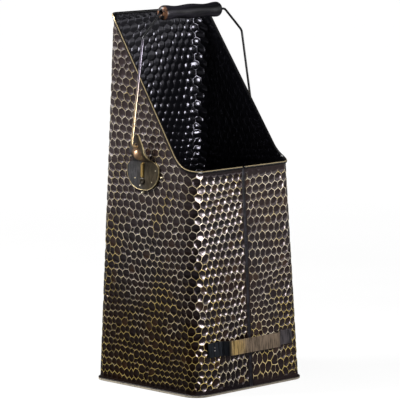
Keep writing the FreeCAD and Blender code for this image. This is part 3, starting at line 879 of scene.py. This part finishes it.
def ridge_gold(nodes, from_middle, up):
    """Tan and yellow clouds, yellower near the foot, mostly off the front."""
    off_front = nodes.span(from_middle, *FRONT_ZONE, FRONT_YELLOW, 1.0)
    low = nodes.times(nodes.span(up, *YELLOW_ZONE, YELLOW_LIFT, 0.0), off_front)
    yellow = nodes.span(nodes.plus(nodes.noise(22.0, 3.0), low), 0.45, 0.75)
    return nodes.mix(yellow, TAN_GOLD, OLD_GOLD)


def hammered_material():
    """Dark lacquer in the dishes with a painted sheen high on the sides and right of the lap, and gold rubbed
    onto the ridges with painted shade on the upright ones.
    """
    nodes = Nodes("hammered_outside")
    up, across = nodes.axis("Z"), nodes.axis("X")
    from_middle = nodes.plus(nodes.size(across), nodes.times(up, SIDE_LEAN))
    side = nodes.span(from_middle, *SIDE_ZONE)
    grain = nodes.noise(420.0, 3.0)
    gold_share = rubbed_share(nodes, side, up, grain)
    dish = dish_lacquer(nodes, side, up, across)
    colour = nodes.mix(gold_share, dish, ridge_gold(nodes, from_middle, up))
    brown = nodes.times(side, nodes.span(up, *BROWN_ZONE, 1.0, 0.0))
    # Less gloss high on the sides, where the painted sheen stands in for the reflection.
    dulled = nodes.times(side, nodes.span(up, *DULL_ZONE, 0.0, LACQUER_GLOSS))
    rough = nodes.plus(0.15, nodes.times(gold_share, 0.22))
    nodes.bump(grain, 0.1, 0.0004)
    nodes.set(Specular_IOR_Level=nodes.minus(DISH_GLOSS, dulled))
    nodes.set(Specular_Tint=nodes.mix(brown, LACQUER_TINT, BROWN_TINT))
    return nodes.set(Base_Color=colour, Metallic=nodes.times(gold_share, 0.35), Roughness=rough)


def inside_material():
    """Smooth black lacquer."""
    nodes = Nodes("black_inside")
    grain = nodes.noise(300.0, 3.0)
    colour = nodes.mix(nodes.span(grain, 0.3, 0.7), BLACK, INSIDE_BLACK)
    nodes.bump(grain, 0.06, 0.0003)
    nodes.set(Specular_IOR_Level=LACQUER_GLOSS, Specular_Tint=INSIDE_TINT)
    return nodes.set(Base_Color=colour, Roughness=0.15)


def wear_and_glint_metal(name, base, rub, amount, rough):
    """Metal with patches of another colour: wear on the rivets, and a painted highlight on the edge tubes and
    the beads.
    """
    nodes = Nodes(name)
    grain = nodes.noise(350.0, 4.0)
    patches = nodes.plus(nodes.noise(30.0, 3.0), nodes.times(grain, 0.4))
    worn = nodes.span(patches, 0.55, 0.95, 0.0, amount)
    metal = nodes.plus(0.3, nodes.times(worn, 0.6))
    nodes.bump(grain, 0.15, 0.0003)
    nodes.set(Base_Color=nodes.mix(worn, base, rub), Specular_IOR_Level=LACQUER_GLOSS)
    return nodes.set(Metallic=metal, Roughness=rough)


def rim_material():
    """Black roll with a gold line rubbed along it."""
    nodes = Nodes("rim_gold")
    grain = nodes.noise(300.0, 4.0)
    rub = nodes.times(nodes.attribute("ridge"), nodes.span(grain, 0.25, 0.6, 0.6, 1.0))
    rough = nodes.plus(0.22, nodes.times(rub, 0.12))
    nodes.bump(grain, 0.15, 0.0003)
    nodes.set(Base_Color=nodes.mix(rub, BLACK, RIM_GOLD), Specular_IOR_Level=LACQUER_GLOSS)
    return nodes.set(Metallic=nodes.times(rub, 0.8), Roughness=rough)


def brushed_strap():
    """Antique brass, brushed up and down: gold at the crown's left, brown further on, and dark feet."""
    nodes = Nodes("strap_brushed")
    across = nodes.axis("X")
    strokes = nodes.noise(420.0, 4.0, 0.65, stretch=(1, 1, 0.09))
    crown_end = CROWN_LENGTH / 2 * MM
    crown = nodes.span(nodes.size(across), crown_end - CROWN_BLEND, crown_end + CROWN_BLEND, 1.0, 0.0)
    along = nodes.plus(across, nodes.times(nodes.noise(70.0, 3.0), STRAP_CLOUDS))
    brass = nodes.mix(nodes.span(along, *STRAP_GOLD_ZONE), STRAP_GOLD, STRAP_BROWN)
    feet = nodes.mix(nodes.span(across, *FEET_ZONE), STRAP_LEFT_FOOT, STRAP_RIGHT_FOOT)
    colour = nodes.mix(crown, feet, brass)
    colour = nodes.mix(nodes.span(strokes, 0.34, 0.6, 0.8, 0.0), colour, BLACK)
    nodes.bump(strokes, 0.2, 0.0003)
    return nodes.set(Base_Color=colour, Metallic=0.9, Roughness=0.34)


def ear_metal(name):
    """Ear with a tarnished grain and painted light: painted reflections, bluish behind and olive in front;
    painted highlights in copper on the nose and in brass on the rib; and painted highlights on the cut edges.
    """
    nodes = Nodes(name)
    up = nodes.axis("Z")
    along = nodes.minus(nodes.axis("Y"), PIVOT_SETBACK * MM)
    grain = nodes.noise(300.0, 4.0, stretch=(1, 1, 0.3))
    # Painted reflections: bluish on the half behind, olive on the half in front.
    field = nodes.mix(nodes.span(along, *EAR_ZONE), EAR_OLIVE_REFLECTION, EAR_BLUE_REFLECTION)
    field = nodes.mix(nodes.span(grain, 0.4, 0.7, 0.5, 0.0), field, GUNMETAL)
    above_nose = nodes.minus(up, (PIVOT_HEIGHT - NOSE_DROP) * MM)
    from_nose = nodes.math("SQRT", nodes.plus(nodes.times(along, along), nodes.times(above_nose, above_nose)))
    nose = nodes.span(from_nose, *NOSE_ZONE, 1.0, 0.0)
    on_rib = nodes.span(nodes.size(along), *RIB_SIDE, 1.0, 0.0)
    rib = nodes.times(on_rib, nodes.span(up, *RIB_TOP, 1.0, 0.0), nodes.span(up, *RIB_FOOT))
    facing = nodes.add("ShaderNodeSeparateXYZ")
    nodes.link(nodes.add("ShaderNodeTexCoord").outputs["Normal"], facing.inputs[0])
    edge = nodes.span(nodes.size(facing.outputs["X"]), 0.25, 0.5, 1.0, 0.0)
    # Painted highlights on the nose and on the rib.
    colour = nodes.mix(nose, field, NOSE_HIGHLIGHT)
    colour = nodes.mix(rib, colour, RIB_HIGHLIGHT)
    # Painted highlight on the cut edges, the faces that look along the wall.
    colour = nodes.mix(edge, colour, HIGHLIGHT_GOLD)
    rough = nodes.plus(0.34, nodes.times(nose, 0.12))
    nodes.bump(grain, 0.15, 0.0003)
    return nodes.set(Base_Color=colour, Metallic=0.85, Roughness=rough)


def wire_metal():
    """Black wire with a painted highlight on its left leg: bright low down and grey higher up."""
    nodes = Nodes("wire_metal")
    up = nodes.axis("Z")
    grain = nodes.noise(260.0, 4.0, stretch=(1, 1, 0.2))
    # Painted highlight down the left leg: pale low down, a grey sheen higher up.
    leg = nodes.times(nodes.span(nodes.axis("X"), *LEFT_LEG, 1.0, 0.0), nodes.span(up, *LEG_HIGHLIGHT_ZONE, 1.0, 0.0))
    leg_highlight = nodes.times(leg, nodes.span(grain, 0.3, 0.55, 0.7, 1.0))
    colour = nodes.mix(leg_highlight, BLACK, nodes.mix(nodes.span(up, *LEG_SHEEN_ZONE), WIRE_LOW_HIGHLIGHT, WIRE_HIGH_SHEEN))
    nodes.bump(grain, 0.1, 0.0002)
    nodes.set(Base_Color=colour, Metallic=nodes.times(leg_highlight, 0.9))
    return nodes.set(Roughness=0.3, Specular_IOR_Level=STAIN_GLOSS)


def pan_metal():
    """Dark folded pan with gold along the lower edge of its seam, most on the left: partly rubbed gold,
    partly a painted catch light on the bead.
    """
    nodes = Nodes("pan_metal")
    grain = nodes.noise(350.0, 4.0)
    # Gold line on the bead: partly rubbed gold, partly a painted catch light, strongest on the left.
    edge = nodes.span(nodes.axis("Z"), *PAN_EDGE, 1.0, 0.0)
    on_left = nodes.span(nodes.axis("Y"), *PAN_LEFT, 0.3, 0.9)
    rub = nodes.times(edge, on_left, nodes.span(grain, 0.3, 0.6, 0.6, 1.0))
    nodes.bump(grain, 0.12, 0.0003)
    nodes.set(Base_Color=nodes.mix(rub, GUNMETAL, TAN_GOLD))
    return nodes.set(Roughness=0.4, Specular_IOR_Level=0.3)


def black_stain(name):
    """Black stain with a lengthwise grain, worn to copper at the far left, which only the grip reaches."""
    nodes = Nodes(name)
    grain = nodes.noise(160.0, 4.0, stretch=(0.06, 1, 1))
    end = nodes.times(nodes.span(nodes.axis("X"), *GRIP_END, 1.0, 0.0), nodes.span(grain, 0.42, 0.6))
    stain = nodes.mix(nodes.span(grain, 0.35, 0.75), BLACK, STAIN)
    nodes.bump(grain, 0.25, 0.0006)
    nodes.set(Base_Color=nodes.mix(end, stain, WORN_COPPER), Metallic=nodes.times(end, 0.6))
    return nodes.set(Roughness=0.34, Specular_IOR_Level=STAIN_GLOSS)


def dress(piece, material):
    """Give every material slot of a mesh one material."""
    if not piece.data.materials:
        piece.data.materials.append(material)
    for index in range(len(piece.data.materials)):
        piece.data.materials[index] = material


# Pieces of the body
marks = HammerMarks()
outside = hammered_wall("hammered_outside", marks, edge_parts=2, inset=0.0, outward=True)
inside = hammered_wall("hammered_inside", marks, edge_parts=1, inset=SHEET, outward=False)
roll = new_piece("rim_roll", *swept_tube(rim_line(RIM_STEPS), RIM_RADIUS, RIM_SIDES))
add_values(roll, "ridge", rim_rub(RIM_SIDES, RIM_STEPS))
lap = new_piece("front_lap", *lap_strip())
for piece in (outside, inside, roll, lap):
    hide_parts("body_shell")
dress(outside, hammered_material())
dress(inside, inside_material())
dress(roll, rim_material())
dress(lap, black_stain("lap_black"))

# Tubes that paint highlights along edges, and solder and spot marks whose pale colour is a painted glint
# The gold on the edge tubes of the ears and of the strap is a painted highlight.
edge_highlight = wear_and_glint_metal("edge_highlight", BRASS, HIGHLIGHT_GOLD, 0.8, 0.36)
for name, side in (("ear_edge_highlight_left", -1), ("ear_edge_highlight_right", 1)):
    edge = new_piece(name, *swept_tube(ear_edge(side), EDGE_RADIUS, EDGE_SIDES, up=(1, 0, 0)))
    dress(edge, edge_highlight)
for name, side in (("strap_edge_highlight_upper", 1), ("strap_edge_highlight_lower", -1)):
    edge = new_piece(name, *swept_tube(strap_edge(side), EDGE_RADIUS / 2, EDGE_SIDES))
    dress(edge, wear_and_glint_metal(name, STRAP_RIGHT_FOOT, HIGHLIGHT_GOLD, 0.9, 0.36))
# Near-white beads of solder and spot marks: their pale colour is a painted glint.
for name, side in (("ear_solder_left", -1), ("ear_solder_right", 1)):
    dress(new_piece(name, *ear_beads(side)), wear_and_glint_metal(name, SOLDER_GLINT, HIGHLIGHT_GOLD, 0.8, 0.3))
spots = new_piece("strap_spots", *strap_beads())
dress(spots, wear_and_glint_metal("strap_spots", STRAP_RIGHT_FOOT, SOLDER_GLINT, 0.8, 0.3))

# Solids of the frame that keep their own meshes
dress(cad["base_pan"], pan_metal())
for word in ("ear_left", "ear_right"):
    dress(cad[word], ear_metal(word + "_metal"))
# Black rivets: a painted shade for the dark hollow in their dished heads, with a little brass wear.
for word in ("ear_rivet_left", "ear_rivet_right"):
    dress(cad[word], wear_and_glint_metal(word + "_metal", BLACK, BRASS, 0.12, 0.35))
dress(cad["tilt_strap"], brushed_strap())
dress(cad["bail_wire"], wire_metal())
dress(cad["grip"], black_stain("grip_black_wood"))


# Studio
CAMERA_AZIMUTH = math.radians(44.914)
CAMERA_ELEVATION = math.radians(7.845)
CAMERA_DISTANCE = 4.0109
CAMERA_TARGET = Vector((0.00724, 0.00584, 0.24028))
SENSOR = 36.0
FOCAL_SHARE = 7.5
CLIP_END = 100
ROOM_LIGHT = 0.04
FLOOR_HALF = 30.0
FLOOR_TONES = (0.075, 0.085)
FLOOR_GLOW_NEAR = 0.9
FLOOR_GLOW_FAR = 1.0
GLOW_SPAN = (0.3, 2.5)
SHADOW_SPAN = (0.45, 1.5)
MIRRORED_GLOW = 0.22
LIT_PLACE = Vector((0, 0, 0.25))


def make_camera():
    """Camera at the photograph's place: left of the front, a little above."""
    lens = bpy.data.cameras.new("camera")
    lens.sensor_width = SENSOR
    lens.lens = FOCAL_SHARE * SENSOR
    lens.clip_end = CLIP_END
    camera = bpy.data.objects.new("camera", lens)
    bpy.context.scene.collection.objects.link(camera)
    back = Vector((
        -math.sin(CAMERA_AZIMUTH) * math.cos(CAMERA_ELEVATION),
        -math.cos(CAMERA_AZIMUTH) * math.cos(CAMERA_ELEVATION),
        math.sin(CAMERA_ELEVATION),
    ))
    camera.location = CAMERA_TARGET + back * CAMERA_DISTANCE
    camera.rotation_euler = (-back).to_track_quat("-Z", "Y").to_euler()
    bpy.context.scene.camera = camera


def softbox(name, azimuth, elevation, distance, width, height, radiance):
    """Rectangular lamp that faces the middle of the hod from a direction, in degrees."""
    turn, lift = math.radians(azimuth), math.radians(elevation)
    toward = Vector((math.cos(turn) * math.cos(lift), math.sin(turn) * math.cos(lift), math.sin(lift)))
    lamp = bpy.data.lights.new(name, "AREA")
    lamp.shape = "RECTANGLE"
    lamp.size = width
    lamp.size_y = height
    lamp.energy = radiance * math.pi * width * height
    holder = bpy.data.objects.new(name, lamp)
    bpy.context.scene.collection.objects.link(holder)
    holder.location = LIT_PLACE + toward * distance
    holder.rotation_euler = (-toward).to_track_quat("-Z", "Y").to_euler()
    holder.visible_camera = False


def make_floor():
    """Floor that the camera sees as white. Metal mirrors it dimmer, and only outside the hod's shadow."""
    corners = [(-1, -1), (1, -1), (1, 1), (-1, 1)]
    mesh = bpy.data.meshes.new("floor")
    mesh.from_pydata([(FLOOR_HALF * x, FLOOR_HALF * y, 0) for x, y in corners], [], [(0, 1, 2, 3)])
    floor = bpy.data.objects.new("floor", mesh)
    bpy.context.scene.collection.objects.link(floor)
    nodes = Nodes("pale_floor")
    tone = nodes.span(nodes.noise(3.0, 2.0), 0.3, 0.7, *FLOOR_TONES)
    shade = nodes.add("ShaderNodeCombineColor")
    for word in ("Red", "Green", "Blue"):
        nodes.link(tone, shade.inputs[word])
    path = nodes.add("ShaderNodeLightPath")
    mirrored = nodes.math("MAXIMUM", path.outputs["Is Glossy Ray"], path.outputs["Is Transmission Ray"])
    far = nodes.add("ShaderNodeVectorMath", operation="LENGTH")
    nodes.link(nodes.place, far.inputs[0])
    out_of_shadow = nodes.span(far.outputs["Value"], *SHADOW_SPAN, 0.0, MIRRORED_GLOW)
    seen = nodes.math("MAXIMUM", path.outputs["Is Camera Ray"], nodes.times(mirrored, out_of_shadow))
    glow = nodes.span(far.outputs["Value"], *GLOW_SPAN, FLOOR_GLOW_NEAR, FLOOR_GLOW_FAR)
    nodes.set(Base_Color=shade.outputs[0], Roughness=0.9, Specular_IOR_Level=0.0)
    nodes.set(Emission_Color=(1.0, 1.0, 1.0), Emission_Strength=nodes.times(seen, glow))
    dress(floor, nodes.material)


def make_world():
    """Even, rather dim room light, so that the softboxes model the sheet. The camera sees it as white."""
    world = bpy.data.worlds.new("studio")
    bpy.context.scene.world = world
    world.use_nodes = True
    tree = world.node_tree
    background = tree.nodes["Background"]
    background.inputs["Color"].default_value = (1, 1, 1, 1)
    seen = tree.nodes.new("ShaderNodeLightPath").outputs["Is Camera Ray"]
    strength = tree.nodes.new("ShaderNodeMapRange")
    strength.inputs["To Min"].default_value = ROOM_LIGHT
    strength.inputs["To Max"].default_value = FLOOR_GLOW_FAR
    tree.links.new(seen, strength.inputs["Value"])
    tree.links.new(strength.outputs["Result"], background.inputs["Strength"])


make_camera()
make_floor()
make_world()
softbox("key", azimuth=-84.6, elevation=13, distance=0.87, width=0.26, height=0.36, radiance=31)
softbox("key_halo", azimuth=-84.6, elevation=13, distance=0.88, width=0.5, height=0.6, radiance=2.2)
softbox("left_lamp", azimuth=115, elevation=17, distance=1.5, width=0.5, height=0.4, radiance=4)
softbox("left_panel", azimuth=128, elevation=26, distance=1.6, width=1.5, height=0.9, radiance=1.2)
softbox("upper_left_lamp", azimuth=138, elevation=46, distance=1.3, width=0.5, height=0.5, radiance=45)
softbox("right_panel", azimuth=-45, elevation=18, distance=1.8, width=1.5, height=1.0, radiance=1.15)
softbox("top_panel", azimuth=-120, elevation=70, distance=1.4, width=0.8, height=0.8, radiance=1.0)

bpy.context.scene.view_settings.view_transform = "Standard"
